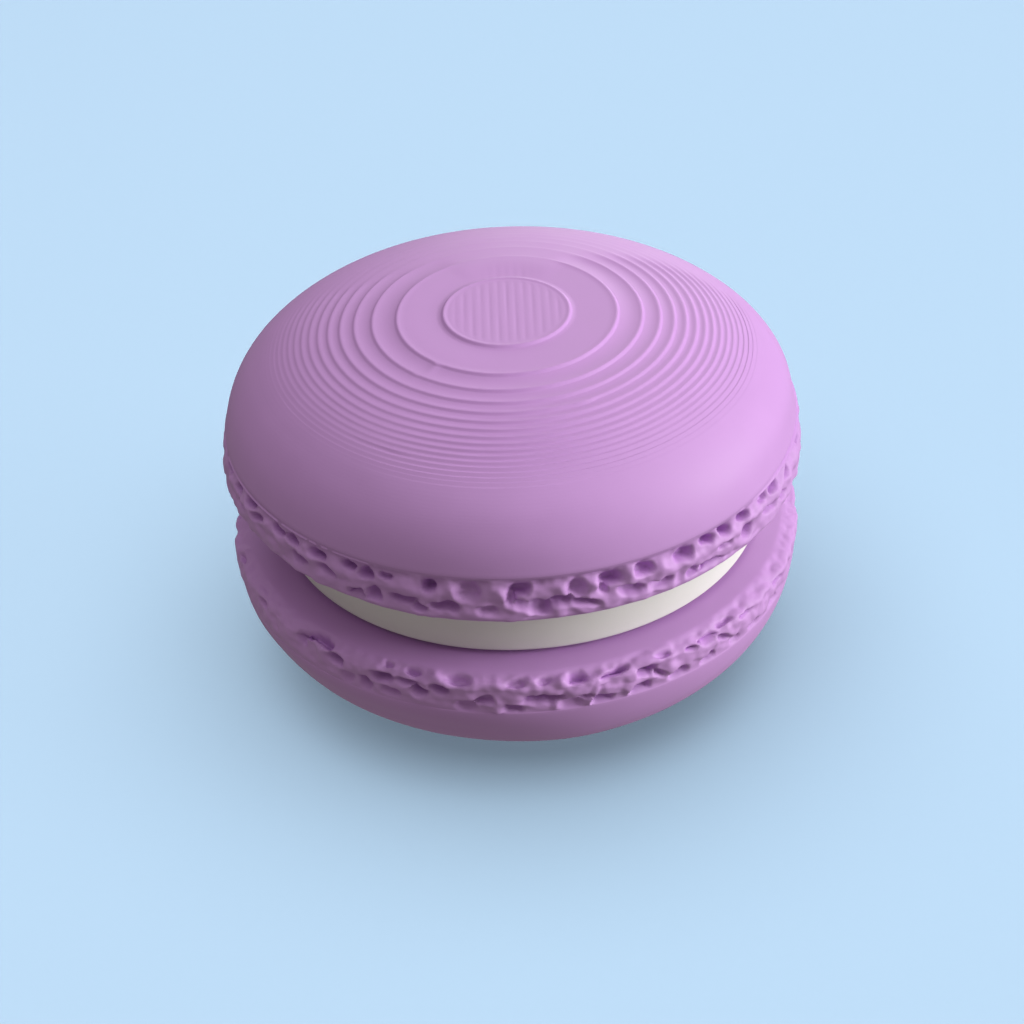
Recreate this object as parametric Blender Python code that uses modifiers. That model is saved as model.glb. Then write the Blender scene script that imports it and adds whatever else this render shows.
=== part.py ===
"""A French macaron printed in plastic: lilac shells with a white filling disc between them.

Metres, +Z up. The origin is the centre of the small flat disc that the macaron rests on.
Each shell is a dome whose upper layers show as steps, over a craggy foot with a flat side.
"""

import math
import random
from typing import NamedTuple

import bmesh
import bpy
from mathutils import Vector, noise

MM = 0.001

# Driving sizes of the whole
SHELL_DIAMETER = 48.0 * MM
SHELL_HEIGHT = 12.6 * MM
FILLING_DIAMETER = 41.8 * MM
FILLING_HEIGHT = 6.0 * MM
JOINT_GAP = 0.3 * MM

# The dome is a superellipse, cut off where the foot begins
FOOT_HEIGHT_TOP = 3.6 * MM
FOOT_HEIGHT_BOTTOM = 3.1 * MM
DOME_RADIUS = 23.75 * MM
DOME_DROP = 12.87 * MM
DOME_EXPONENT = 3.05

# Printed layers: the widest terraces are modelled as steps, and the rest of the dome is smooth
LAYER = 0.2 * MM
LAYER_SAMPLE = 0.24
STEPS_TOP = 10
STEPS_BOTTOM = 3
SMOOTH_ROWS = 5
SMOOTH_CROWDING = 1.3

# The dome ends in a lip that stands over the foot
LIP_RADIUS = 23.66 * MM
LIP_EDGE = 0.15 * MM
CREASE_RADIUS = 23.58 * MM
CREASE_DROP = 0.12 * MM

# The foot bulges to the full radius and turns under through an elliptical corner
CORNER_WIDTH = 1.6 * MM
CORNER_HEIGHT = 0.9 * MM
BULGE_SHARE = 0.6
WALL_ROWS = 6
CORNER_ROWS = 4

# Facets round the axis
DOME_SEGMENTS = 72
FOOT_SEGMENTS = 144
FILLING_SEGMENTS = 72
FILLING_EDGE = 0.35 * MM
FILLING_EDGE_ROWS = 2
WELD = 0.001 * MM
SHARP_EDGE = math.radians(40.0)
BEVEL_OVER = math.radians(60.0)


class PitRow(NamedTuple):
    """A row of pits round the foot, set out along the foot's profile from the lip down."""

    count: int
    path: float
    path_scatter: float
    half_widths: tuple
    half_heights: tuple
    depths: tuple
    share_kept: float
    slant: float


class Pit(NamedTuple):
    """One pit: its angle round the axis, its place along the profile, and its form."""

    angle: float
    path: float
    half_width: float
    half_height: float
    depth: float
    slant: float


# Crags: deep square pits under the lip, slanting slits at mid height, shallow ones on the corner
UNDER_LIP = PitRow(
    count=54,
    path=0.52 * MM,
    path_scatter=0.08 * MM,
    half_widths=(0.5 * MM, 0.85 * MM),
    half_heights=(0.42 * MM, 0.56 * MM),
    depths=(0.6 * MM, 1.0 * MM),
    share_kept=0.9,
    slant=math.radians(8.0),
)
MID_SLITS = PitRow(
    count=42,
    path=1.65 * MM,
    path_scatter=0.25 * MM,
    half_widths=(0.7 * MM, 1.5 * MM),
    half_heights=(0.26 * MM, 0.4 * MM),
    depths=(0.4 * MM, 0.8 * MM),
    share_kept=0.85,
    slant=math.radians(22.0),
)
CORNER_PITS = PitRow(
    count=44,
    path=2.75 * MM,
    path_scatter=0.4 * MM,
    half_widths=(0.45 * MM, 0.85 * MM),
    half_heights=(0.28 * MM, 0.42 * MM),
    depths=(0.2 * MM, 0.45 * MM),
    share_kept=0.75,
    slant=math.radians(30.0),
)
PIT_ROWS = (UNDER_LIP, MID_SLITS, CORNER_PITS)
PIT_SCATTER = 0.32
PIT_SQUARENESS = 3.0
PIT_WALL = 0.45
LUMP_SIZE = 1.5 * MM
LUMP_HEIGHT = 0.3 * MM
FLAT_SIDE_FADE = 0.35 * MM
SEED_TOP = 11
SEED_BOTTOM = 29

# Finishes: linear base colour and roughness
LILAC = ((0.56, 0.32, 0.65, 1.0), 0.55)
WARM_WHITE = ((0.8, 0.785, 0.75, 1.0), 0.5)


def clear_scene():
    """Remove the objects that the file starts with."""
    for old in list(bpy.data.objects):
        bpy.data.objects.remove(old, do_unlink=True)


def plastic(name, colour, roughness):
    """A printed plastic as a Principled material."""
    material = bpy.data.materials.new(name)
    material.use_nodes = True
    shader = material.node_tree.nodes["Principled BSDF"]
    shader.inputs["Base Color"].default_value = colour
    shader.inputs["Roughness"].default_value = roughness
    shader.inputs["Metallic"].default_value = 0.0
    return material


def dome_radius(depth):
    """Radius of the dome at a depth below its crown."""
    rise = max(0.0, 1.0 - depth / DOME_DROP)
    return DOME_RADIUS * (1.0 - rise**DOME_EXPONENT) ** (1.0 / DOME_EXPONENT)


def dome_profile(steps, foot_height):
    """Points (radius, height over the flat side) down the dome, from the crown disc to the lip."""
    points = []
    for step in range(steps):
        radius = dome_radius(LAYER * (step + LAYER_SAMPLE))
        top = SHELL_HEIGHT - LAYER * step
        points.append((radius, top))
        points.append((radius, top - LAYER))
    stepped = LAYER * steps
    last = SHELL_HEIGHT - foot_height - LIP_EDGE
    for row in range(SMOOTH_ROWS):
        share = (row / SMOOTH_ROWS) ** SMOOTH_CROWDING
        depth = stepped + (last - stepped) * share
        points.append((dome_radius(depth), SHELL_HEIGHT - depth))
    points.append((LIP_RADIUS, foot_height + LIP_EDGE))
    return points


def foot_profile(foot_height):
    """Points (radius, height over the flat side) down the foot, from the lip to the flat side."""
    widest = SHELL_DIAMETER / 2
    crease = foot_height - CREASE_DROP
    points = [(LIP_RADIUS, foot_height), (CREASE_RADIUS, crease)]
    for row in range(1, WALL_ROWS + 1):
        share = row / WALL_ROWS
        bulge = math.sin(0.5 * math.pi * min(1.0, share / BULGE_SHARE))
        radius = CREASE_RADIUS + (widest - CREASE_RADIUS) * bulge
        points.append((radius, crease - (crease - CORNER_HEIGHT) * share))
    for row in range(1, CORNER_ROWS + 1):
        turn = 0.5 * math.pi * row / CORNER_ROWS
        radius = widest - CORNER_WIDTH * (1.0 - math.cos(turn))
        points.append((radius, CORNER_HEIGHT * (1.0 - math.sin(turn))))
    return points


def path_lengths(profile):
    """How far each point of a profile lies along it from the first one."""
    lengths = [0.0]
    for start, end in zip(profile, profile[1:]):
        lengths.append(lengths[-1] + math.dist(start, end))
    return lengths


def inward_normals(profile):
    """The direction (radial, vertical) into the shell at each point of the foot's profile."""
    directions = []
    for row in range(len(profile)):
        before = profile[max(row - 1, 1)]
        after = profile[min(row + 1, len(profile) - 1)]
        run = Vector((after[1] - before[1], before[0] - after[0])).normalized()
        directions.append(run if row > 1 else Vector((-1.0, 0.0)))
    return directions


def scattered_pits(seed):
    """The pits round one foot."""
    draw = random.Random(seed)
    found = []
    for row in PIT_ROWS:
        for place in range(row.count):
            turn = (place + draw.uniform(-PIT_SCATTER, PIT_SCATTER)) / row.count
            pit = Pit(
                angle=2.0 * math.pi * turn,
                path=row.path + draw.uniform(-row.path_scatter, row.path_scatter),
                half_width=draw.uniform(*row.half_widths),
                half_height=draw.uniform(*row.half_heights),
                depth=draw.uniform(*row.depths),
                slant=draw.uniform(-row.slant, row.slant),
            )
            if draw.random() < row.share_kept:
                found.append(pit)
    return found


def pit_depth(angle, path, pits):
    """How deep the pits are at an angle round the axis and a place along the foot's profile."""
    deepest = 0.0
    for pit in pits:
        turn = (angle - pit.angle + math.pi) % (2.0 * math.pi) - math.pi
        across = turn * SHELL_DIAMETER / 2
        along = path - pit.path
        x = (across * math.cos(pit.slant) + along * math.sin(pit.slant)) / pit.half_width
        y = (along * math.cos(pit.slant) - across * math.sin(pit.slant)) / pit.half_height
        reach = (abs(x) ** PIT_SQUARENESS + abs(y) ** PIT_SQUARENESS) ** (1.0 / PIT_SQUARENESS)
        if reach < 1.0:
            deepest = max(deepest, pit.depth * min(1.0, (1.0 - reach) / PIT_WALL))
    return deepest


def roughen(band, profile, seed):
    """Press the pits and the hollows between lumps into a turned foot."""
    lengths = path_lengths(profile)
    directions = inward_normals(profile)
    pits = scattered_pits(seed)
    rows = {round(height / WELD): row for row, (_, height) in enumerate(profile)}
    for vertex in band.verts:
        row = rows[round(vertex.co.z / WELD)]
        fade = min(1.0, (lengths[-1] - lengths[row]) / FLAT_SIDE_FADE) if row > 0 else 0.0
        angle = math.atan2(vertex.co.y, vertex.co.x)
        lump = noise.noise(vertex.co / LUMP_SIZE + Vector((seed, 0.0, 0.0)))
        hollow = 0.5 * LUMP_HEIGHT * (1.0 - lump)
        inward = fade * (hollow + pit_depth(angle, lengths[row], pits))
        radial, vertical = directions[row]
        outward = Vector((math.cos(angle), math.sin(angle), 0.0))
        vertex.co += inward * (radial * outward + Vector((0.0, 0.0, vertical)))


def turned(name, profile, segments, collection):
    """A surface turned about Z from a profile that runs down its outer side."""
    mesh = bpy.data.meshes.new(name)
    points = [(radius, 0.0, height) for radius, height in profile]
    edges = [(row, row + 1) for row in range(len(points) - 1)]
    mesh.from_pydata(points, edges, [])
    made = bpy.data.objects.new(name, mesh)
    collection.objects.link(made)
    screw = made.modifiers.new("turn", "SCREW")
    screw.steps = segments
    screw.render_steps = segments
    screw.use_merge_vertices = True
    screw.merge_threshold = WELD
    bpy.context.view_layer.update()
    evaluated = made.evaluated_get(bpy.context.evaluated_depsgraph_get())
    result = bmesh.new()
    result.from_mesh(evaluated.to_mesh())
    evaluated.to_mesh_clear()
    bpy.data.objects.remove(made)
    bmesh.ops.remove_doubles(result, verts=result.verts, dist=WELD)
    return result


def open_ring(surface, height):
    """The edges of a turned surface's open ring at a height."""
    found = []
    for edge in surface.edges:
        level = all(abs(vertex.co.z - height) < WELD for vertex in edge.verts)
        if edge.is_boundary and level:
            found.append(edge)
    return found


def shell(name, material, steps, foot_height, seed, collection):
    """One shell with its flat side down at z = 0: stepped dome, lip, craggy foot and flat side."""
    dome = dome_profile(steps, foot_height)
    foot = foot_profile(foot_height)
    surface = turned(name + "_dome", dome, DOME_SEGMENTS, collection)
    band = turned(name + "_foot", foot, FOOT_SEGMENTS, collection)
    roughen(band, foot, seed)
    mesh = bpy.data.meshes.new(name)
    band.to_mesh(mesh)
    band.free()
    surface.from_mesh(mesh)
    rings = open_ring(surface, dome[-1][1]) + open_ring(surface, foot[0][1])
    bmesh.ops.bridge_loops(surface, edges=rings)
    for height in (dome[0][1], foot[-1][1]):
        bmesh.ops.contextual_create(surface, geom=open_ring(surface, height))
    bmesh.ops.recalc_face_normals(surface, faces=surface.faces)
    surface.to_mesh(mesh)
    surface.free()
    mesh.shade_smooth()
    mesh.set_sharp_from_angle(angle=SHARP_EDGE)
    mesh.materials.append(material)
    made = bpy.data.objects.new(name, mesh)
    collection.objects.link(made)
    return made


def filling(name, material, collection):
    """The filling disc between the shells' flat sides, with eased edges."""
    bpy.ops.mesh.primitive_cylinder_add(
        vertices=FILLING_SEGMENTS,
        radius=FILLING_DIAMETER / 2,
        depth=FILLING_HEIGHT - 2.0 * JOINT_GAP,
        end_fill_type="NGON",
        location=(0.0, 0.0, SHELL_HEIGHT + FILLING_HEIGHT / 2),
    )
    made = bpy.context.active_object
    made.name = name
    made.data.name = name
    for holder in list(made.users_collection):
        holder.objects.unlink(made)
    collection.objects.link(made)
    edge = made.modifiers.new("eased_edge", "BEVEL")
    edge.width = FILLING_EDGE
    edge.segments = FILLING_EDGE_ROWS
    edge.limit_method = "ANGLE"
    edge.angle_limit = BEVEL_OVER
    made.data.materials.append(material)


def main():
    """Build the macaron, standing on the crown disc of its lower shell."""
    clear_scene()
    macaron = bpy.data.collections.new("macaron")
    bpy.context.scene.collection.children.link(macaron)
    lilac = plastic("lilac_plastic", *LILAC)
    white = plastic("white_plastic", *WARM_WHITE)

    lower = shell(
        "shell_bottom", lilac, STEPS_BOTTOM, FOOT_HEIGHT_BOTTOM, SEED_BOTTOM, macaron
    )
    lower.rotation_euler.x = math.pi
    lower.location.z = SHELL_HEIGHT

    filling("filling", white, macaron)

    upper = shell("shell_top", lilac, STEPS_TOP, FOOT_HEIGHT_TOP, SEED_TOP, macaron)
    upper.location.z = SHELL_HEIGHT + FILLING_HEIGHT


main()
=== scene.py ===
"""A French macaron printed in plastic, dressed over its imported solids.

Metres, +Z up, in the frame of the solids. Each shell is turned as one closed mesh: a crown disc with
the straight lines of its last printed layer, a dome of layer steps, and a foot of pits and lumps.
"""

import logging
import math
import random
from dataclasses import dataclass
from enum import Enum
from typing import Any, NamedTuple

import bmesh
import bpy
import numpy as np
from mathutils import Matrix, Vector, noise


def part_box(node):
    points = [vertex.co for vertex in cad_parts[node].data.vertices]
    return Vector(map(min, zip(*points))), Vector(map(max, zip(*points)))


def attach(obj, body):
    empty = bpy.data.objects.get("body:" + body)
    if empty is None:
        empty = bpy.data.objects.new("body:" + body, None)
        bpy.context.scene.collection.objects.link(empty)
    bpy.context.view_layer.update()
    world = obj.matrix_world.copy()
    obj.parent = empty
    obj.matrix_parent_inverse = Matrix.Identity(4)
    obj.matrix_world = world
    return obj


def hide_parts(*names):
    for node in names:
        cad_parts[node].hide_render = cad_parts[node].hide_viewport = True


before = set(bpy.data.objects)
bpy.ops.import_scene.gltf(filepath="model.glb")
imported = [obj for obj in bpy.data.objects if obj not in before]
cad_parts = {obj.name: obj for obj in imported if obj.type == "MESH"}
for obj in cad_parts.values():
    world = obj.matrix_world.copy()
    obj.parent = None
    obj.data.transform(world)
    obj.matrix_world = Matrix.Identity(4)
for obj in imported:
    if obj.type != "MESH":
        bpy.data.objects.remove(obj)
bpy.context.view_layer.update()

LOG = logging.getLogger("macaron")

MM = 0.001
FULL_TURN = 2.0 * math.pi
FRONT = math.radians(-90.0)
ROOT = "root"
LILAC_SLOT = "lilac_plastic"
WHITE_SLOT = "white_plastic"

Row = tuple[float, ...]
Rows = tuple[Row, ...]
Array = np.ndarray
Piece = bpy.types.Object


class Lay(Enum):
    """Which way up a shell lies."""

    DOME_UP = 1.0
    DOME_DOWN = -1.0


# Shader maths


class Wire:
    """One output of a shader node, with the arithmetic of Math nodes."""

    def __init__(self, graph: "Graph", socket: Any) -> None:
        """Hold a node's output socket and the graph that it is in."""
        self.graph = graph
        self.socket = socket

    def _math(self, operation: str, first: Any, second: Any = None) -> "Wire":
        """Add a Math node with one or two values and return its output."""
        values = {0: first} if second is None else {0: first, 1: second}
        return self.graph.node("ShaderNodeMath", {"operation": operation}, values)

    def __add__(self, other: Any) -> "Wire":
        """Sum of two values."""
        return self._math("ADD", self, other)

    def __radd__(self, other: Any) -> "Wire":
        """Sum of two values."""
        return self._math("ADD", other, self)

    def __sub__(self, other: Any) -> "Wire":
        """This value less another."""
        return self._math("SUBTRACT", self, other)

    def __rsub__(self, other: Any) -> "Wire":
        """Another value less this one."""
        return self._math("SUBTRACT", other, self)

    def __mul__(self, other: Any) -> "Wire":
        """Product of two values."""
        return self._math("MULTIPLY", self, other)

    def __rmul__(self, other: Any) -> "Wire":
        """Product of two values."""
        return self._math("MULTIPLY", other, self)

    def wave(self) -> "Wire":
        """Sine of the value, in radians."""
        return self._math("SINE", self)


class Graph:
    """The node graph of one material."""

    def __init__(self, name: str) -> None:
        """Start a material that holds a Principled shader and its output.

        Args:
            name: the material's name.
        """
        self.material = bpy.data.materials.new(name)
        self.material.use_nodes = True
        self.tree = self.material.node_tree
        self.inputs = self.tree.nodes["Principled BSDF"].inputs

    def node(self, kind: str, settings: dict, values: dict, output: Any = 0) -> Wire:
        """Add a node, set it up and join it.

        Args:
            kind: the node's type.
            settings: properties to set first.
            values: input name or number to a value or a wire.
            output: which output to return.

        Returns:
            The chosen output.
        """
        made = self.tree.nodes.new(kind)
        for key, value in settings.items():
            setattr(made, key, value)
        for key, value in values.items():
            self.feed(made.inputs[key], value)
        return Wire(self, made.outputs[output])

    def feed(self, socket: Any, value: Any) -> None:
        """Give an input a value or a wire.

        Args:
            socket: the input socket.
            value: a number, a tuple or a wire.
        """
        if isinstance(value, Wire):
            self.tree.links.new(value.socket, socket)
        else:
            socket.default_value = value

    def place(self) -> Wire:
        """The surface point in the object's own metres."""
        return self.node("ShaderNodeTexCoord", {}, {}, "Object")

    def grain(self, size: float, detail: float = 2.0) -> Wire:
        """Noise about 0.5 with features of a size in metres and as many finer octaves as detail."""
        values = {"Vector": self.place(), "Scale": 1.0 / size, "Detail": detail}
        return self.node("ShaderNodeTexNoise", {}, values, "Fac")

    def paint(self, colour: Row, swing: float, share: Wire) -> None:
        """Colour the surface between a darker and a lighter tint.

        Args:
            colour: linear red, green and blue.
            swing: how far each tint is from the colour, as a share of it.
            share: 0 for the darker tint, 1 for the lighter.
        """
        dark, light = ((*(channel * gain for channel in colour), 1.0) for gain in (1.0 - swing, 1.0 + swing))
        settings = {"data_type": "RGBA", "clamp_factor": True}
        mixed = self.node("ShaderNodeMix", settings, {0: share, 6: dark, 7: light}, 2)
        self.feed(self.inputs["Base Color"], mixed)


# Finishes


@dataclass(frozen=True)
class PrintedPlastic:
    """Matte plastic laid down in layers: faint mottling, fine grain and level layer lines."""

    name: str
    colour: Row
    roughness: float
    mottle: float = 0.035
    mottle_size: float = 2.6 * MM
    mottle_detail: float = 3.0
    speck_size: float = 0.09 * MM
    speck_detail: float = 1.0
    speck_share: float = 0.3
    roughness_swing: float = 0.12
    layer: float = 0.2 * MM
    layer_relief: float = 0.0012 * MM
    grain_size: float = 0.12 * MM
    grain_relief: float = 0.0035 * MM
    sheen_level: float = 0.32

    def material(self) -> bpy.types.Material:
        """Build the material.

        Returns:
            The material, ready to assign.
        """
        graph = Graph(self.name)
        mottling = graph.grain(self.mottle_size, self.mottle_detail)
        specks = graph.grain(self.speck_size, self.speck_detail)
        share = mottling * (1.0 - self.speck_share) + specks * self.speck_share
        graph.paint(self.colour, self.mottle, share)
        graph.feed(graph.inputs["Roughness"], self.roughness - self.roughness_swing * (0.5 - mottling))
        height = graph.node("ShaderNodeSeparateXYZ", {}, {"Vector": graph.place()}, "Z")
        lines = (height * (FULL_TURN / self.layer)).wave() * 0.5 + 0.5
        relief = lines * self.layer_relief + graph.grain(self.grain_size) * self.grain_relief
        values = {"Height": relief * (1.0 / MM), "Distance": MM}
        graph.feed(graph.inputs["Normal"], graph.node("ShaderNodeBump", {}, values, "Normal"))
        graph.inputs["Metallic"].default_value = 0.0
        graph.inputs["Specular IOR Level"].default_value = self.sheen_level
        return graph.material


@dataclass(frozen=True)
class StudioPaper:
    """Plain pale blue paper for the floor."""

    colour: Row
    fibre_size: float = 0.8 * MM
    fibre_shade: float = 0.006
    roughness: float = 0.95

    def material(self) -> bpy.types.Material:
        """Build the material.

        Returns:
            The material, ready to assign.
        """
        graph = Graph("studio_paper")
        graph.paint(self.colour, self.fibre_shade, graph.grain(self.fibre_size))
        graph.inputs["Roughness"].default_value = self.roughness
        graph.inputs["Specular IOR Level"].default_value = 0.0
        return graph.material


# Turning


def mode(name: str) -> None:
    """Enter edit mode, or leave it for object mode."""
    bpy.ops.object.mode_set(mode=name)


def pick(*pieces: Piece) -> None:
    """Select these pieces and nothing else, and make the last one active.

    Args:
        pieces: the pieces, or none to deselect everything.
    """
    bpy.ops.object.select_all(action="DESELECT")
    for piece in pieces:
        piece.select_set(True)
        bpy.context.view_layer.objects.active = piece


@dataclass(frozen=True)
class Lathe:
    """Turns open profiles about the Z axis."""

    weld: float = 0.001 * MM

    def turn(self, name: str, profile: list[Row], segments: int) -> Piece:
        """Extrude a profile point by point and screw it through a full turn.

        Args:
            name: the object's name.
            profile: points (radius, height) along the profile.
            segments: facets round the axis.

        Returns:
            The turned surface, open at any profile end that is off the axis.
        """
        pick()
        radius, height = profile[0]
        bpy.ops.mesh.primitive_plane_add(size=MM, location=(radius, 0.0, height))
        made = bpy.context.active_object
        made.name = name
        made.data.name = name
        bpy.ops.object.transform_apply(location=True, rotation=False, scale=False)
        mode("EDIT")
        bpy.ops.mesh.select_mode(type="VERT")
        bpy.ops.mesh.select_all(action="SELECT")
        bpy.ops.mesh.merge(type="CENTER")
        for start, end in zip(profile, profile[1:]):
            step = (end[0] - start[0], 0.0, end[1] - start[1])
            bpy.ops.mesh.extrude_region_move(TRANSFORM_OT_translate={"value": step})
        mode("OBJECT")
        screw = made.modifiers.new("turn", "SCREW")
        screw.axis = "Z"
        screw.angle = FULL_TURN
        screw.steps = segments
        screw.render_steps = segments
        screw.use_merge_vertices = True
        screw.merge_threshold = self.weld
        bpy.ops.object.modifier_apply(modifier=screw.name)
        mode("EDIT")
        bpy.ops.mesh.select_all(action="SELECT")
        bpy.ops.mesh.remove_doubles(threshold=self.weld)
        mode("OBJECT")
        return made


def finish_mesh(sharp_over: float) -> None:
    """Turn the normals of the piece in edit mode outwards, leave that mode and smooth the shading.

    Args:
        sharp_over: edges that turn by more than this angle stay sharp.
    """
    bpy.ops.mesh.select_all(action="SELECT")
    bpy.ops.mesh.normals_make_consistent(inside=False)
    mode("OBJECT")
    bpy.ops.object.shade_smooth_by_angle(angle=sharp_over)


def points_of(piece: Piece) -> Array:
    """The vertices of a piece.

    Args:
        piece: a mesh object.

    Returns:
        One row of x, y, z for each vertex.
    """
    flat = np.empty(3 * len(piece.data.vertices))
    piece.data.vertices.foreach_get("co", flat)
    return flat.reshape(-1, 3)


def move_points(piece: Piece, points: Array) -> None:
    """Put the vertices of a piece in new places."""
    piece.data.vertices.foreach_set("co", points.ravel())
    piece.data.update()


def polar(points: Array) -> tuple[Array, Array]:
    """Radius and angle of each vertex round the axis."""
    return np.hypot(points[:, 0], points[:, 1]), np.arctan2(points[:, 1], points[:, 0])


def push_out(points: Array, angle: Array, by: Array) -> None:
    """Move vertices away from the axis, in place."""
    points[:, 0] += by * np.cos(angle)
    points[:, 1] += by * np.sin(angle)


def ease(value: Any) -> Any:
    """A smooth step from 0 to 1."""
    share = np.clip(value, 0.0, 1.0)
    return share * share * (3.0 - 2.0 * share)


def near(distance: Array, reach: float = 1.5) -> Array:
    """1 close to a place, eased out to 0 at a reach; the edge is 1 wide."""
    return ease(reach - np.abs(distance))


def turn_between(angle: Any, centre: float) -> Any:
    """Signed angle from a centre, between half a turn either way."""
    return (angle - centre + math.pi) % FULL_TURN - math.pi


# Dome


@dataclass(frozen=True)
class StepFault:
    """A short stretch of a layer's edge that was laid a little out of place, at an angle in degrees."""

    layer: int
    angle: float
    half_length: float
    push: float
    lift: float
    reach_along: float = 1.4
    reach_across: float = 1.6


@dataclass(frozen=True)
class Dent:
    """A wide shallow hollow in a dome, in degrees round it and between two depths below the crown."""

    angle: float
    half_turn: float
    start: float
    end: float
    push: float
    fade: float = 2.5 * MM


@dataclass(frozen=True)
class Dome:
    """The stepped dome of a shell, from the crown disc down to the lip."""

    height: float = 12.6 * MM
    radius: float = 23.75 * MM
    drop: float = 12.87 * MM
    exponent: float = 3.05
    layer: float = 0.2 * MM
    layer_sample: float = 0.24
    layer_middle: float = 0.26
    level_slack: float = 0.01
    crisp_steps: int = 8
    last_step: int = 17
    faintest_step: float = 0.06
    raised_rims: int = 16
    rim_width: float = 0.34 * MM
    rim_share: float = 0.42
    rim_rise: float = 0.04 * MM
    rim_points: Rows = ((1.0, 0.0), (0.6, 0.55), (0.25, 1.0))
    riser_width: float = 0.22 * MM
    riser_share: float = 0.38
    riser_points: Rows = ((-0.5, 0.8, 0.03), (-0.22, 0.3, 0.2), (0.12, 0.0, 0.72), (0.5, 0.0, 1.0))
    smooth_rows: int = 20
    lip_radius: float = 23.52 * MM
    lip_edge: float = 0.3 * MM
    lip_turns: Row = (0.0, 0.25, 0.45, 0.62)
    crown_rings: int = 48
    second_rings: int = 9
    strand_pitch: float = 0.724 * MM
    strand_depth: float = 0.019 * MM
    strand_offset: float = 0.02 * MM
    strand_edge: float = 0.6 * MM
    strand_swing: float = 0.25
    strand_swing_size: float = 1.7 * MM
    strand_phase: float = 2.4
    second_strands: float = 0.8
    second_half_turn: float = 0.35
    second_reach: float = 1.6
    wobble: float = 0.05 * MM
    wobble_size: float = 7.0 * MM
    wobble_from: float = 4.0 * MM
    wobble_fade: float = 2.0 * MM
    wobble_by_height: float = 4.0
    crown_squeeze: float = 0.052
    squeeze_from: float = 6.0 * MM
    squeeze_reach: float = 7.5 * MM
    shown_radii: Row = tuple(size * MM for size in (9.3, 11.3, 13.7, 16.7, 18.2, 18.8, 19.3, 20.2))
    shown_left: Row = (141, 123, 106, 99, 93, 78, 50, 10)
    shown_right: Row = (141, 134, 124, 111, 101, 98, 96, 92)
    worn_left: Row = (0.3, 0.4, 0.46, 0.7, 0.82, 0.84, 0.84, 0.84)
    worn_right: Row = (0.0, 0.0, 0.35, 0.52, 0.6, 0.6, 0.6, 0.5)
    worn_left_turn: Rows = ((-35.0, -8.0), (1.0, 0.0))
    worn_right_turn: Rows = ((12.0, 40.0, 72.0), (0.0, 1.0, 0.4))
    hide_over: float = 15.0
    hidden_share: float = 0.92
    calm_from: float = 4.0 * MM
    calm_below: float = 2.0
    segments: int = 240

    def radius_at(self, depth: float) -> float:
        """Radius of the smooth dome at a depth below the crown."""
        rise = max(0.0, 1.0 - depth / self.drop)
        return self.radius * (1.0 - rise**self.exponent) ** (1.0 / self.exponent)

    def smooth_radius(self, depth: float) -> float:
        """Radius at a depth where the dome runs smoothly through the middles of its layers."""
        return self.radius_at(depth + self.layer_middle * self.layer)

    def step_radius(self, step: int) -> float:
        """Radius of the edge of a printed layer, counted from the crown."""
        return self.radius_at(self.layer * (step + self.layer_sample))

    def step_level(self, step: int) -> float:
        """Height of a layer's flat top; the crown's rim reaches the full height."""
        return self.height - (self.layer * step if step else self.rim_rise)

    def flat_rows(self, step: int, rings: int) -> list[Row]:
        """Points across a layer's flat top, up to the start of its rim.

        Args:
            step: the layer, 0 for the crown disc.
            rings: how many parts the flat top has.

        Returns:
            Points (radius, height).
        """
        inner = self.step_radius(step - 1) + 0.5 * self.riser_width if step else 0.0
        outer = self.step_radius(step) - 0.5 * self.riser_width - self.rim_width
        shares = [ring / rings for ring in range(min(step, 1), rings)]
        return [(inner + (outer - inner) * share, self.step_level(step)) for share in shares]

    def step_rows(self, step: int) -> list[Row]:
        """Points over one layer's raised rim and the riser below it, fainter lower down the dome.

        Args:
            step: the layer, counted from the crown.

        Returns:
            Points (radius, height).
        """
        edge = self.step_radius(step)
        tread = self.step_radius(step + 1) - edge
        top = self.step_level(step)
        drop = top - self.step_level(step + 1)
        riser = min(self.riser_width, self.riser_share * tread)
        inner = edge - self.step_radius(step - 1) if step else edge
        rim = min(self.rim_width, self.rim_share * inner)
        rows = []
        rise = 0.0
        if step < self.raised_rims:
            rise = self.rim_rise * rim / self.rim_width
            rows = [(edge - 0.5 * riser - place * rim, top + up * rise) for place, up in self.rim_points]
        for place, up, down in self.riser_points:
            rows.append((edge + place * riser, top + up * rise - down * drop))
        fading = float(ease((step - self.crisp_steps) / (self.last_step - self.crisp_steps)))
        keep = 1.0 - (1.0 - self.faintest_step) * fading
        smooth = [self.smooth_radius(self.height - height) for _, height in rows]
        return [(mean + (radius - mean) * keep, height) for mean, (radius, height) in zip(smooth, rows)]

    def profile(self, foot_height: float) -> list[Row]:
        """The whole profile, from the axis over the crown and down to the lip.

        Args:
            foot_height: height of the lip over the flat side.

        Returns:
            Points (radius, height).
        """
        rows = self.flat_rows(0, self.crown_rings) + self.step_rows(0) + self.flat_rows(1, self.second_rings)
        for step in range(1, self.last_step):
            rows += self.step_rows(step)
        start = self.layer * self.last_step
        end = self.height - foot_height - self.lip_edge
        for row in range(1, self.smooth_rows):
            depth = start + (end - start) * row / self.smooth_rows
            rows.append((self.smooth_radius(depth), self.height - depth))
        edge = self.lip_edge
        for turn in self.lip_turns:
            inset = edge * (1.0 - math.cos(turn))
            rows.append((self.lip_radius - inset, foot_height + edge * (1.0 - math.sin(turn))))
        return rows

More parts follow.
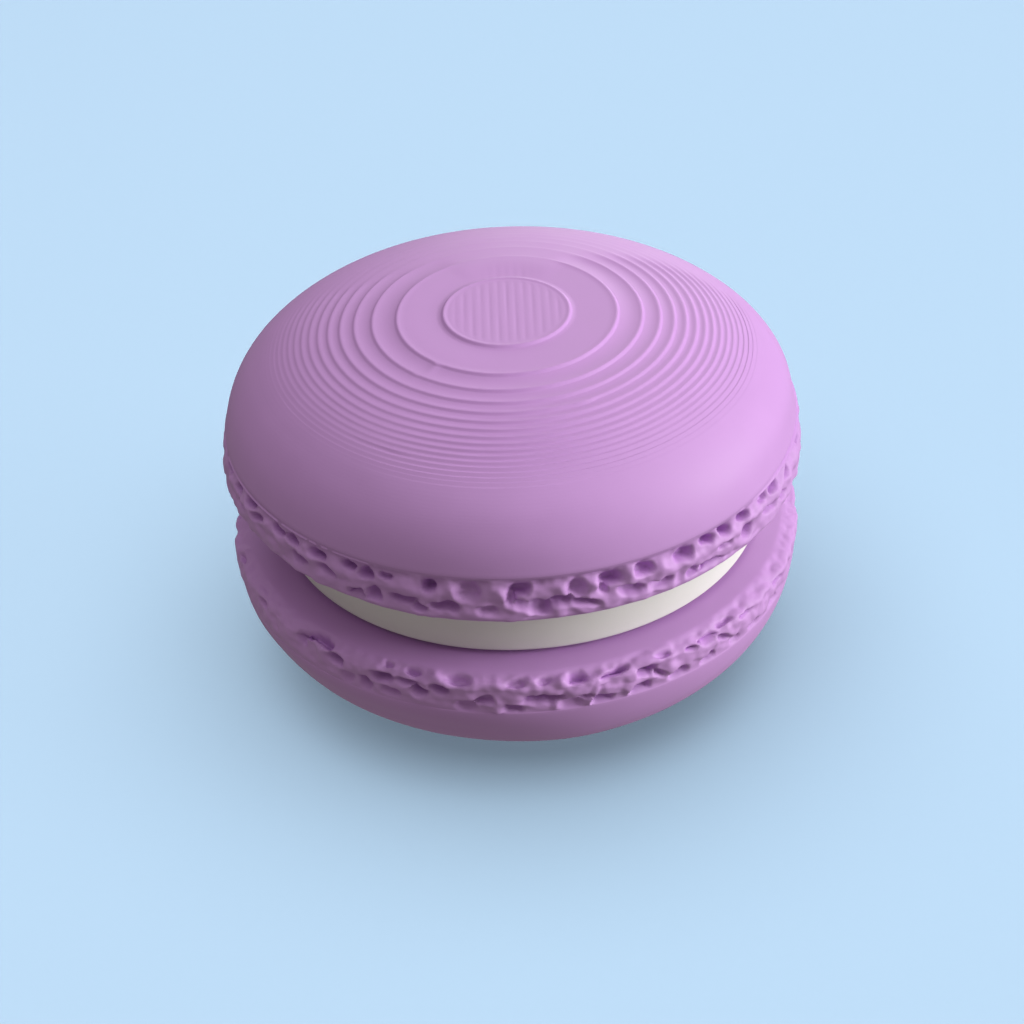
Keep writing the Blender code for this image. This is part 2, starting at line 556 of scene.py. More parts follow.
    def lay_strands(self, points: Array) -> None:
        """Press the grooves between the last layer's straight strands into the crown.

        They show again, fainter, on the ring round it, behind the crown.

        Args:
            points: the dome's vertices, changed in place.
        """
        radius, angle = polar(points)
        phase = (points[:, 0] - self.strand_offset) / self.strand_pitch
        wave = np.sin(self.strand_phase * np.round(phase) + points[:, 1] / self.strand_swing_size)
        groove = (0.5 + 0.5 * np.cos(FULL_TURN * phase)) ** 2
        groove *= 1.0 - self.strand_swing + self.strand_swing * wave
        rim = 0.5 * self.riser_width + self.rim_width
        behind = turn_between(angle, -FRONT) / self.second_half_turn
        faint = self.second_strands * near(behind, self.second_reach)
        for step, strength in ((0, 1.0), (1, faint)):
            level = np.abs(points[:, 2] - self.step_level(step)) < self.level_slack * self.layer
            inside = ease((self.step_radius(step) - rim - radius) / self.strand_edge)
            points[:, 2] -= np.where(level, strength * self.strand_depth * groove * inside, 0.0)

    def wander_rings(self, points: Array, seed: int) -> None:
        """Let the layers' edges wander a little from true circles.

        Args:
            points: the dome's vertices, changed in place.
            seed: a number that makes this dome's wander its own.
        """
        shift = Vector((0.0, seed, 0.0))
        for index, (x, y, z) in enumerate(points):
            radius = math.hypot(x, y)
            share = min(1.0, radius / self.wobble_from)
            share *= min(1.0, (self.lip_radius - radius) / self.wobble_fade)
            if share > 0.0:
                place = Vector((x, y, self.wobble_by_height * z))
                drift = noise.noise(place / self.wobble_size + shift)
                points[index, :2] *= 1.0 + share * self.wobble * drift / radius

    def calm_back(self, points: Array) -> None:
        """Smooth the steps away behind the crown and where they are worn.

        For each shown radius the fields give the degrees from the front up to which the steps show, and
        the share that is worn off on the left and at the front right.

        Args:
            points: the dome's vertices, changed in place.
        """
        radius, angle = polar(points)
        turn = np.degrees(turn_between(angle, FRONT))
        rows = (self.shown_left, self.shown_right, self.worn_left, self.worn_right)
        shown_left, shown_right, left, right = (np.interp(radius, self.shown_radii, row) for row in rows)
        shown = np.where(turn < 0.0, shown_left, shown_right)
        hidden = self.hidden_share * ease((np.abs(turn) - shown) / self.hide_over)
        worn = left * np.interp(turn, *self.worn_left_turn) + right * np.interp(turn, *self.worn_right_turn)
        hidden = np.maximum(hidden, worn)
        hidden *= ease((radius - self.step_radius(0)) / self.calm_from)
        hidden *= ease(self.last_step + self.calm_below - (self.height - points[:, 2]) / self.layer)
        rise = 1.0 - (np.minimum(radius, self.radius) / self.radius) ** self.exponent
        smooth = self.height - self.drop * (1.0 - rise ** (1.0 / self.exponent))
        points[:, 2] += hidden * (smooth + self.layer_middle * self.layer - points[:, 2])

    def press_in(self, points: Array, dents: tuple[Dent, ...]) -> None:
        """Press wide shallow hollows into the dome.

        Args:
            points: the dome's vertices, changed in place.
            dents: where and how far.
        """
        angle = polar(points)[1]
        depth = self.height - points[:, 2]
        for dent in dents:
            share = near(turn_between(angle, math.radians(dent.angle)) / math.radians(dent.half_turn))
            share *= ease((depth - dent.start) / dent.fade) * ease((dent.end - depth) / dent.fade)
            push_out(points, angle, -dent.push * share)

    def squeeze_crown(self, points: Array) -> None:
        """Make the crown disc and the first rings narrower across than from front to back."""
        away = np.maximum(polar(points)[0] - self.squeeze_from, 0.0) / self.squeeze_reach
        points[:, 0] *= 1.0 - self.crown_squeeze * np.exp(-(away**2))

    def lay_faults(self, points: Array, faults: tuple[StepFault, ...]) -> None:
        """Move short stretches of some layers' edges.

        Args:
            points: the dome's vertices, changed in place.
            faults: where and how far.
        """
        radius, angle = polar(points)
        for fault in faults:
            edge = self.step_radius(fault.layer)
            along = turn_between(angle, math.radians(fault.angle)) * edge / fault.half_length
            across = (radius - edge) / self.riser_width
            share = near(along, fault.reach_along) * near(across, fault.reach_across)
            push_out(points, angle, fault.push * share)
            points[:, 2] += fault.lift * share * (radius > edge)


# Foot


class PitRow(NamedTuple):
    """A row of pits round the foot, in millimetres along its profile from the lip, and degrees."""

    count: int
    path: float
    path_scatter: float
    half_widths: Row
    half_heights: Row
    depths: Row
    share_kept: float
    slant: float


class Mark(NamedTuple):
    """One pit or lump on a foot, its path measured from the lip down.

    The slant is above 0 where the mark nears the flat side as the angle grows; -90 degrees is the front.
    """

    angle: float
    path: float
    half_width: float
    half_height: float
    depth: float
    slant: float


class Spots(NamedTuple):
    """Where vertices are on the foot: angle round the axis and path from the lip."""

    angle: Array
    path: Array


def marks(*rows: Row) -> tuple[Mark, ...]:
    """Pits or lumps given in degrees and millimetres.

    Args:
        rows: for each one the values of Mark in their order, the slant only where it has one.

    Returns:
        The marks in metres and radians.
    """
    made = []
    for angle, *sizes in rows:
        lengths = (size * MM for size in sizes[:4])
        made.append(Mark(math.radians(angle), *lengths, math.radians(sum(sizes[4:]))))
    return tuple(made)


UNDER_LIP = PitRow(54, 0.65, 0.08, (0.5, 0.85), (0.3, 0.5), (0.6, 1.0), share_kept=0.9, slant=12.0)
MID_SLITS = PitRow(42, 2.0, 0.3, (0.6, 1.3), (0.2, 0.34), (0.5, 0.9), share_kept=0.85, slant=18.0)
CORNER_PITS = PitRow(36, 3.1, 0.25, (0.4, 0.8), (0.2, 0.38), (0.3, 0.55), share_kept=0.7, slant=20.0)

# Marks at the front, in the places that the photograph shows
UPPER_PITS = marks(
    (-171, 0.55, 0.6, 0.4, 1.14), (-164, 0.6, 0.45, 0.34, 1.14), (-157.5, 0.85, 0.55, 0.36, 1.38),
    (-151.5, 0.6, 0.6, 0.36, 1.22, -10), (-155, 1.8, 0.8, 0.3, 0.81, -10), (-13.5, 0.8, 0.75, 0.48, 1.5),
    (-5, 0.75, 0.8, 0.48, 1.5), (3.5, 0.75, 0.8, 0.46, 1.5), (13, 0.6, 0.55, 0.32, 0.85),
    (-148.5, 1.23, 0.79, 0.31, 1.08, -25), (-141, 0.68, 0.68, 0.29, 1.08),
    (-137, 0.7, 0.63, 0.31, 1.08, 8), (-130, 0.76, 0.68, 0.31, 1.23, 5), (-122.8, 0.68, 0.53, 0.29, 1.08),
    (-119, 0.83, 0.63, 0.46, 1.38), (-115, 0.58, 0.42, 0.24, 0.77), (-106.5, 0.76, 0.47, 0.4, 1.38, -20),
    (-99.3, 0.93, 0.89, 0.72, 0.68), (-90.1, 0.73, 0.79, 0.46, 1.23, -15), (-91.6, 1.38, 0.32, 0.55, 0.86),
    (-79.6, 0.98, 0.68, 0.68, 0.86), (-73.3, 0.8, 0.82, 0.5, 1.23), (-74.8, 1.38, 0.37, 0.5, 0.74),
    (-66.8, 0.76, 0.79, 0.46, 1.05), (-58.3, 0.78, 0.82, 0.5, 1.17), (-52.6, 0.58, 0.63, 0.33, 0.99, 8),
    (-48, 0.58, 0.63, 0.35, 0.99, 15), (-42.5, 0.53, 0.63, 0.35, 1.05, 12), (-36, 0.48, 0.47, 0.29, 0.61),
    (-31, 0.53, 0.84, 0.44, 0.99, 5), (-24.5, 1.03, 0.63, 0.44, 0.86, -10),
    (-134.8, 2.05, 0.81, 0.38, 1.16), (-127.5, 1.8, 0.81, 0.33, 0.92, 8),
    (-121, 2.8, 0.65, 0.46, 1.08, -15), (-117.3, 2.45, 0.54, 0.46, 1.23, -15),
    (-111.5, 2.2, 1.03, 0.33, 1.08), (-108.2, 2.55, 0.54, 0.27, 0.92, 5), (-103.7, 2.25, 1.03, 0.33, 1.08),
    (-96, 2.4, 0.7, 0.3, 0.61), (-89.5, 2.05, 0.65, 0.27, 0.74, 20), (-86.4, 2.3, 0.86, 0.54, 1.1, 15),
    (-82.8, 1.95, 0.92, 0.37, 1.1, -5), (-78.3, 2.3, 1.08, 0.3, 0.92, 14),
    (-69.4, 2.15, 1.03, 0.37, 0.92, 12), (-63.3, 2.4, 0.97, 0.35, 0.74), (-56, 2.55, 0.65, 0.33, 0.86),
    (-51.5, 2.8, 1.08, 0.38, 1.05, 5), (-48.3, 1.8, 0.65, 0.23, 0.61), (-41.5, 2.05, 0.65, 0.48, 1.05, 10),
    (-33, 2, 1.08, 0.25, 0.61, 10), (-27.5, 2.3, 0.76, 0.25, 0.61, 15),
)
UPPER_LUMPS = marks(
    (-110.5, 1.1, 1.3, 0.6, 0.16), (-102, 1.1, 0.5, 0.6, 0.24), (-93.2, 1.1, 0.45, 0.6, 0.24),
    (-90.8, 2.3, 0.6, 0.26, 0.27), (-88, 2.6, 0.9, 0.24, 0.27), (-82.2, 1, 0.42, 0.6, 0.27),
    (-76.3, 1, 0.42, 0.6, 0.27), (-75, 2.6, 0.6, 0.3, 0.27), (-69.6, 1, 0.42, 0.6, 0.27),
    (-62.6, 1.2, 0.55, 0.65, 0.27), (-66.5, 2.7, 0.7, 0.26, 0.24), (-56.5, 1.6, 0.8, 0.36, 0.2),
    (-45.5, 1.3, 0.6, 0.4, 0.2), (-38.5, 1.1, 0.9, 0.3, 0.2),
)
LOWER_PITS = marks(
    (-125.6, 0.75, 0.53, 0.5, 0.51), (-121.3, 0.8, 0.53, 0.62, 1.43), (-115.7, 0.75, 0.73, 0.5, 0.72),
    (-101, 0.65, 0.73, 0.6, 0.65), (-92.1, 0.4, 0.63, 0.48, 1.04), (-81.3, 0.4, 0.85, 0.49, 0.55),
    (-75.3, 0.3, 0.79, 0.48, 1.1), (-67.6, 0.3, 0.79, 0.45, 1.17), (-59.2, 0.45, 0.84, 0.49, 0.91),
    (-52, 0.35, 0.63, 0.41, 0.98), (-44.5, 0.4, 0.53, 0.33, 0.52), (-38, 0.4, 0.63, 0.33, 0.65),
    (-30, 0.4, 0.73, 0.37, 0.65), (-166, 2.77, 0.58, 0.32, 0.52, 15), (-151, 2.22, 0.68, 0.4, 0.59, 15),
    (-137.2, 2.2, 0.42, 0.75, 1.17), (-135.6, 3.02, 0.65, 0.42, 1.1, 30), (-132.8, 3.36, 0.85, 0.4, 1.1),
    (-130.5, 3.1, 0.48, 0.36, 1.04, -20), (-128, 2.05, 0.68, 0.55, 1.04),
    (-117.4, 2.02, 0.85, 0.52, 1.49, 8), (-112.5, 2.15, 0.89, 0.34, 0.78), (-109.8, 1.45, 0.53, 0.4, 1.3),
    (-105.8, 1.95, 0.68, 0.45, 1.1, -15), (-97.5, 1.22, 0.73, 0.4, 0.85, 15),
    (-86.2, 1.12, 1.37, 0.46, 1.5, -4), (-78.5, 1.02, 0.63, 0.29, 0.52),
    (-72.6, 2.82, 1.21, 0.34, 1.23, 22), (-66.2, 1.97, 0.79, 0.5, 1.43, -8),
    (-63.6, 1.22, 0.53, 0.29, 0.65, -35), (-56.3, 2.47, 0.47, 0.32, 0.78),
    (-52, 2.52, 0.84, 0.42, 1.3, -5), (-47.8, 1.55, 0.84, 0.26, 0.65, -35),
    (-41.5, 2.32, 0.95, 0.26, 0.52, -10), (-28, 2.05, 0.95, 0.29, 0.52, -10),
    (-116.6, 3.48, 0.37, 0.26, 0.52), (-111.3, 3.33, 0.53, 0.29, 0.59), (-102.2, 3.18, 0.84, 0.44, 0.65),
    (-91.6, 3, 0.68, 0.34, 0.45), (-86.2, 3.1, 0.53, 0.26, 0.39), (-80, 3, 0.68, 0.6, 1.04),
    (-62.5, 3.05, 0.63, 0.26, 0.45), (-47, 3.05, 0.73, 0.2, 0.45),
)
LOWER_LUMPS = marks(
    (-77.5, 0.3, 0.25, 0.7, 0.34), (-76.6, 1.45, 0.8, 0.22, 0.34, 70), (-74, 2.55, 0.95, 0.22, 0.34, 35),
    (-71, 3.22, 0.6, 0.22, 0.27, 10), (-106.3, 3.2, 0.5, 0.35, 0.2), (-95, 2.77, 0.5, 0.4, 0.2),
    (-88, 3.12, 0.6, 0.3, 0.2), (-83, 2.72, 0.5, 0.4, 0.2), (-74, 1.4, 0.5, 0.35, 0.27),
    (-69.2, 1.9, 0.4, 0.35, 0.27), (-94.8, 0.3, 0.4, 0.6, 0.27), (-84.2, 0.5, 0.35, 0.5, 0.15),
    (-70.2, 0.6, 0.3, 0.6, 0.27), (-61.8, 1.5, 0.5, 0.5, 0.2), (-56.5, 1.6, 0.6, 0.5, 0.2),
)


@dataclass
class Foot:
    """The craggy foot of a shell: a bulging wall that turns under to the flat side."""

    height: float
    seed: int
    lay: Lay
    front_pits: tuple[Mark, ...]
    front_lumps: tuple[Mark, ...]
    front: Row = (-176.0, 18.0)
    widest: float = 23.84 * MM
    lip_radius: float = 23.45 * MM
    lip_drop: float = 0.02 * MM
    crease_radius: float = 23.44 * MM
    crease_drop: float = 0.12 * MM
    corner_width: float = 1.3 * MM
    corner_height: float = 0.75 * MM
    lip_fade: float = 0.0
    lip_pit_share: float = 0.3
    lip_pit_fade: float = 0.5
    bulge_share: float = 0.5
    sag: float = 0.42 * MM
    sag_angle: float = math.radians(-82.0)
    sag_half: float = math.radians(52.0)
    sag_edge: float = 2.0 * MM
    wall_rows: int = 27
    corner_rows: int = 20
    rows_of_pits: tuple[PitRow, ...] = (UNDER_LIP, MID_SLITS, CORNER_PITS)
    pit_scatter: float = 0.32
    pit_span: float = 4.0
    pit_squareness: float = 2.6
    pit_rim: float = 1.32
    pit_wall: float = 0.75
    pit_core: float = 0.78
    skirt_reach: float = 1.25
    skirt_left: float = 0.95
    skirt_right: float = 0.6
    lump_size: float = 1.5 * MM
    lump_height: float = 0.26 * MM
    knob_size: float = 0.8 * MM
    knob_height: float = 0.17 * MM
    crumb_size: float = 0.42 * MM
    crumb_height: float = 0.03 * MM
    set_back: float = 0.1 * MM
    wander_size: float = 0.7 * MM
    wander: float = 0.16 * MM
    groove_path: float = 1.95 * MM
    groove_half: float = 0.3 * MM
    groove_depth: float = 0.06 * MM
    groove_swing: float = 0.3 * MM
    groove_size: float = 3.0 * MM
    under_lip_path: float = 0.35 * MM
    under_lip_half: float = 0.3 * MM
    under_lip_depth: float = 0.08 * MM
    smooth_from: float = 2.9 * MM
    smooth_over: float = 0.8 * MM
    flat_side_fade: float = 0.35 * MM
    apron: float = 0.2 * MM
    hub_radius: float = 20.0 * MM
    segments: int = 960

    def profile(self) -> list[Row]:
        """The foot's smooth profile, from the lip to inside the flat side.

        Returns:
            Points (radius, height).
        """
        crease = self.height - self.crease_drop
        rows = [(self.lip_radius, self.height - self.lip_drop), (self.crease_radius, crease)]
        for row in range(1, self.wall_rows + 1):
            share = row / self.wall_rows
            bulge = math.sin(0.5 * math.pi * min(1.0, share / self.bulge_share))
            radius = self.crease_radius + (self.widest - self.crease_radius) * bulge
            rows.append((radius, crease - (crease - self.corner_height) * share))
        for row in range(1, self.corner_rows + 1):
            turn = 0.5 * math.pi * row / self.corner_rows
            radius = self.widest - self.corner_width * (1.0 - math.cos(turn))
            rows.append((radius, self.corner_height * (1.0 - math.sin(turn))))
        return rows

    def drawn_pits(self) -> tuple[Mark, ...]:
        """Draw the pits out of sight of the front from this foot's seed.

        Returns:
            The pits.
        """
        draw = random.Random(self.seed)
        found = []
        for row in self.rows_of_pits:
            for place in range(row.count):
                turn = (place + draw.uniform(-self.pit_scatter, self.pit_scatter)) / row.count
                path = row.path + draw.uniform(-row.path_scatter, row.path_scatter)
                sizes = [draw.uniform(*span) for span in (row.half_widths, row.half_heights, row.depths)]
                slant = draw.uniform(-row.slant, row.slant)
                kept = draw.random() < row.share_kept
                angle = (360.0 * turn + 180.0) % 360.0 - 180.0
                if kept and not self.front[0] < angle < self.front[1]:
                    found.append((angle, path, *sizes, slant))
        return marks(*found)

    def measure(self, mark: Mark, spots: Spots) -> tuple[Array, Array, Array]:
        """Where vertices lie in a mark's own measure.

        Args:
            mark: the pit or lump.
            spots: where the vertices are.

        Returns:
            Which vertices are near, and their places across and along, 1 at the mark's edge.
        """
        across = turn_between(spots.angle, mark.angle) * self.widest
        close = np.abs(across) < self.pit_span * max(mark.half_width, mark.half_height)
        along = spots.path[close] - mark.path
        across = across[close]
        c, s = math.cos(mark.slant), math.sin(mark.slant)
        x = (across * c + along * s) / mark.half_width
        y = (along * c - across * s) / mark.half_height
        return close, x, y

    def pit_depths(self, spots: Spots) -> Array:
        """How deep the pits are: steep in the middle, with a skirt that is wider on the right.

        Args:
            spots: where the vertices are.

        Returns:
            The depth at each vertex.
        """
        core = np.zeros_like(spots.angle)
        skirt = np.zeros_like(spots.angle)
        power = self.pit_squareness
        for pit in (*self.front_pits, *self.drawn_pits()):
            close, x, y = self.measure(pit, spots)
            reach = (np.abs(x) ** power + np.abs(y) ** power) ** (1.0 / power)
            deep = self.pit_core * pit.depth * ease((self.pit_rim - reach) / self.pit_wall)
            core[close] = np.maximum(core[close], deep)
            wide = x * np.where(x > 0.0, self.skirt_right, self.skirt_left)
            fall = np.exp(-(wide**2 + y**2) / self.skirt_reach**2)
            deep = (1.0 - self.pit_core) * pit.depth * fall
            skirt[close] = np.maximum(skirt[close], deep)
        return core + skirt

    def noise_at(self, points: Array, size: float, way: float = 1.0, kind: Any = noise.noise) -> Array:
        """Noise about 0 at each vertex, with features of a size; way -1 gives a second field."""
        shift = Vector((way * self.seed, 0.0, 0.0))
        return np.array([kind(Vector(point) / size + shift) for point in points])

    def relief(self, points: Array, path: Array) -> Array:
        """How far each vertex moves in from the smooth foot.

        Args:
            points: the smooth foot's vertices.
            path: place of each vertex along the profile.

        Returns:
            The distance inwards at each vertex.
        """
        # Without a seed the vector noise starts from the clock and differs in each run
        noise.seed_set(self.seed)
        wander = self.wander * self.noise_at(points, self.wander_size, kind=noise.noise_vector)
        spots = Spots(self.lay.value * polar(points)[1] + wander[:, 0] / self.widest, path + wander[:, 1])
        hollow = self.set_back - self.lump_height * self.noise_at(points, self.lump_size)
        hollow += self.knob_height * self.noise_at(points, self.knob_size, -1.0)
        hollow += self.crumb_height * self.noise_at(points, self.crumb_size)
        swing = self.groove_swing * self.noise_at(points, self.groove_size, -1.0)
        off = (spots.path - self.groove_path - swing) / self.groove_half
        hollow += self.groove_depth * np.exp(-(off**2))
        off = (spots.path - self.under_lip_path) / self.under_lip_half
        hollow += self.under_lip_depth * np.exp(-(off**2))
        hollow *= 1.0 - ease((path - self.smooth_from) / self.smooth_over)
        pits = self.pit_depths(spots)
        if self.lip_fade > 0.0:
            hollow *= ease(path / self.lip_fade)
            pits *= ease(self.lip_pit_share + path / (self.lip_pit_fade * self.lip_fade))
        lumps = np.zeros_like(path)
        for lump in self.front_lumps:
            close, x, y = self.measure(lump, spots)
            lumps[close] = np.maximum(lumps[close], lump.depth * np.exp(-(x**2) - y**2))
        return hollow + pits - lumps


# Shells and filling


@dataclass
class Shell:
    """One printed shell, turned and dressed in place."""

    name: str
    base: float
    foot: Foot
    dome: Dome = Dome()
    faults: tuple[StepFault, ...] = ()
    dents: tuple[Dent, ...] = ()
    limit: float = 23.87 * MM
    limit_softness: float = 0.03 * MM
    lathe: Lathe = Lathe()
    sharp_over: float = math.radians(80.0)

    def build(self) -> Piece:
        """Turn the dome and the foot, join them, and put the shell in its place.

        Returns:
            The finished piece, without a material.
        """
        profile = self.dome.profile(self.foot.height)
        dome = self.lathe.turn(self.name, profile, self.dome.segments)
        points = points_of(dome)
        self.dome.lay_strands(points)
        self.dome.wander_rings(points, self.foot.seed)
        self.dome.lay_faults(points, self.faults)
        self.dome.calm_back(points)
        self.dome.squeeze_crown(points)
        self.dome.press_in(points, self.dents)
        move_points(dome, points)
        self.join(dome, self.build_foot())
        self.set_down(dome)
        return dome

    def build_foot(self) -> Piece:
        """Turn the foot and press its crags in, no wider than the solid is.

        Returns:
            The foot, open at the lip.
        """
        profile = self.foot.profile()
        piece = self.lathe.turn(self.name + "_foot", profile, self.foot.segments)
        points = points_of(piece)
        radius, angle = polar(points)
        rows = np.array(profile)
        gap = (radius[:, None] - rows[:, 0]) ** 2 + (points[:, 2][:, None] - rows[:, 1]) ** 2
        row = np.argmin(gap, axis=1)
        steps = np.hypot(*np.diff(rows, axis=0).T)
        lengths = np.concatenate(([0.0], np.cumsum(steps)))
        tangent = np.gradient(rows, axis=0)
        inward = np.stack([tangent[:, 1], -tangent[:, 0]], axis=1)
        inward /= np.linalg.norm(inward, axis=1)[:, None]
        inward[:2] = (-1.0, 0.0)
        path = lengths[row]
        fade = np.clip((lengths[-1] - path) / self.foot.flat_side_fade, 0.0, 1.0)
        fade[row == 0] = 0.0
        depth = fade * self.foot.relief(points, path)
        room = (self.limit - (radius + depth * inward[row, 0])) / self.limit_softness
        radius = self.limit - self.limit_softness * np.logaddexp(0.0, room)
        points[:, 0] = radius * np.cos(angle)
        points[:, 1] = radius * np.sin(angle)
        points[:, 2] += depth * inward[row, 1]
        move_points(piece, points)
        self.close_flat_side(piece)
        self.let_sag(piece)
        return piece

    def let_sag(self, piece: Piece) -> None:
        """Let the foot hang a little past the flat side over part of the turn.

        Args:
            piece: the closed foot.
        """
        foot = self.foot
        points = points_of(piece)
        radius, angle = polar(points)
        share = near(turn_between(foot.lay.value * angle, foot.sag_angle) / foot.sag_half)
        share *= ease((radius - foot.hub_radius) / foot.sag_edge)
        share *= 1.0 - np.clip(points[:, 2] / foot.height, 0.0, 1.0)
        points[:, 2] -= foot.sag * share
        move_points(piece, points)

    def close_flat_side(self, piece: Piece) -> None:
        """Close the foot's open ring at the flat side with an apron and a flat face.

        Args:
            piece: the foot.
        """
        pick(piece)
        mode("EDIT")
        select_rings(piece, self.lathe.weld)
        radius = self.foot.profile()[-1][0]
        for target in (radius - self.foot.apron, self.foot.hub_radius):
            bpy.ops.mesh.extrude_edges_move()
            share = target / radius
            bpy.ops.transform.resize(value=(share, share, 1.0), center_override=(0.0, 0.0, 0.0))
            radius = target
        bpy.ops.mesh.edge_face_add()
        mode("OBJECT")

    def join(self, dome: Piece, foot: Piece) -> None:
        """Join the dome and the foot into one closed mesh.

        Args:
            dome: the dome, which stays.
            foot: the foot, which goes into it.
        """
        pick(foot, dome)
        bpy.ops.object.join()
        mode("EDIT")
        select_rings(dome)
        bpy.ops.mesh.bridge_edge_loops()
        finish_mesh(self.sharp_over)

    def set_down(self, piece: Piece) -> None:
        """Turn the shell its right way up and put its place in its mesh.

        Args:
            piece: the shell.
        """
        points = points_of(piece)
        way = self.foot.lay.value
        points[:, 1] *= way
        points[:, 2] = self.base + way * points[:, 2]
        move_points(piece, points)


def select_rings(piece: Piece, below: float = math.inf) -> None:
    """Select the open edges of the piece in edit mode.

    Args:
        piece: a mesh object in edit mode.
        below: edges that reach this height are left out.
    """
    bpy.ops.mesh.select_mode(type="EDGE")
    bpy.ops.mesh.select_all(action="DESELECT")
    mesh = bmesh.from_edit_mesh(piece.data)
    for edge in mesh.edges:
        if edge.is_boundary and all(vertex.co.z < below for vertex in edge.verts):
            edge.select_set(True)
    bmesh.update_edit_mesh(piece.data)


@dataclass
class Filling:
    """The white filling disc, with eased edges and faint level layers."""

    bottom: float
    top: float
    radius: float = 20.4 * MM
    offset: float = 0.16 * MM
    left_share: float = 0.975
    edge: float = 0.35 * MM
    edge_rows: int = 5
    layer: float = 0.2 * MM
    layer_relief: float = 0.012 * MM
    rows_per_layer: int = 3
    segments: int = 320
    lathe: Lathe = Lathe()
    sharp_over: float = math.radians(50.0)

    def profile(self) -> list[Row]:
        """The disc's profile from the axis over the top and round to the axis below.

        Returns:
            Points (radius, height).
        """
        flat = self.radius - 2.0 * self.edge
        turns = [0.5 * math.pi * row / self.edge_rows for row in range(self.edge_rows + 1)]
        rows = [(0.0, self.top), (flat, self.top)]
        for turn in turns:
            inset = self.edge * (1.0 - math.sin(turn))
            rows.append((self.radius - inset, self.top - self.edge * (1.0 - math.cos(turn))))
        side = self.top - self.bottom - 2.0 * self.edge
        count = round(side / self.layer) * self.rows_per_layer
        for row in range(1, count):
            height = self.top - self.edge - side * row / count
            scallop = abs(math.sin(math.pi * height / self.layer))
            rows.append((self.radius - self.layer_relief * (1.0 - scallop), height))
        for turn in turns:
            inset = self.edge * (1.0 - math.cos(turn))
            rows.append((self.radius - inset, self.bottom + self.edge * (1.0 - math.sin(turn))))
        return rows + [(flat, self.bottom), (0.0, self.bottom)]

    def build(self) -> Piece:
        """Turn the disc.

        Returns:
            The finished piece, without a material.
        """
        piece = self.lathe.turn("filling_disc", self.profile(), self.segments)
        points = points_of(piece)
        points[:, 0] *= np.where(points[:, 0] < 0.0, self.left_share, 1.0)
        points[:, 0] += self.offset
        move_points(piece, points)
        mode("EDIT")
        finish_mesh(self.sharp_over)
        return piece


# Studio


@dataclass(frozen=True)
class SoftLight:
    """A square soft light: place round and above the macaron in metres, side and watts."""

    name: str
    azimuth: float
    distance: float
    height: float
    size: float
    power: float
    floor_only: bool = False
    shadow: bool = True


SOFT_LIGHTS = (
    SoftLight("right", -8.0, 0.8, 0.2, 0.38, 5.2),
    SoftLight("right_back", 80.0, 0.8, 0.2, 0.38, 1.65),
    SoftLight("right_above", -5.0, 0.5, 0.4, 0.38, 1.25),
    SoftLight("top", 0.0, 0.0, 0.7, 0.8, 2.0),
    SoftLight("paper", 0.0, 0.0, 0.9, 1.4, 46.0, floor_only=True),
    SoftLight("paper_fill", 0.0, 0.0, 0.9, 1.4, 69.0, floor_only=True, shadow=False),
)


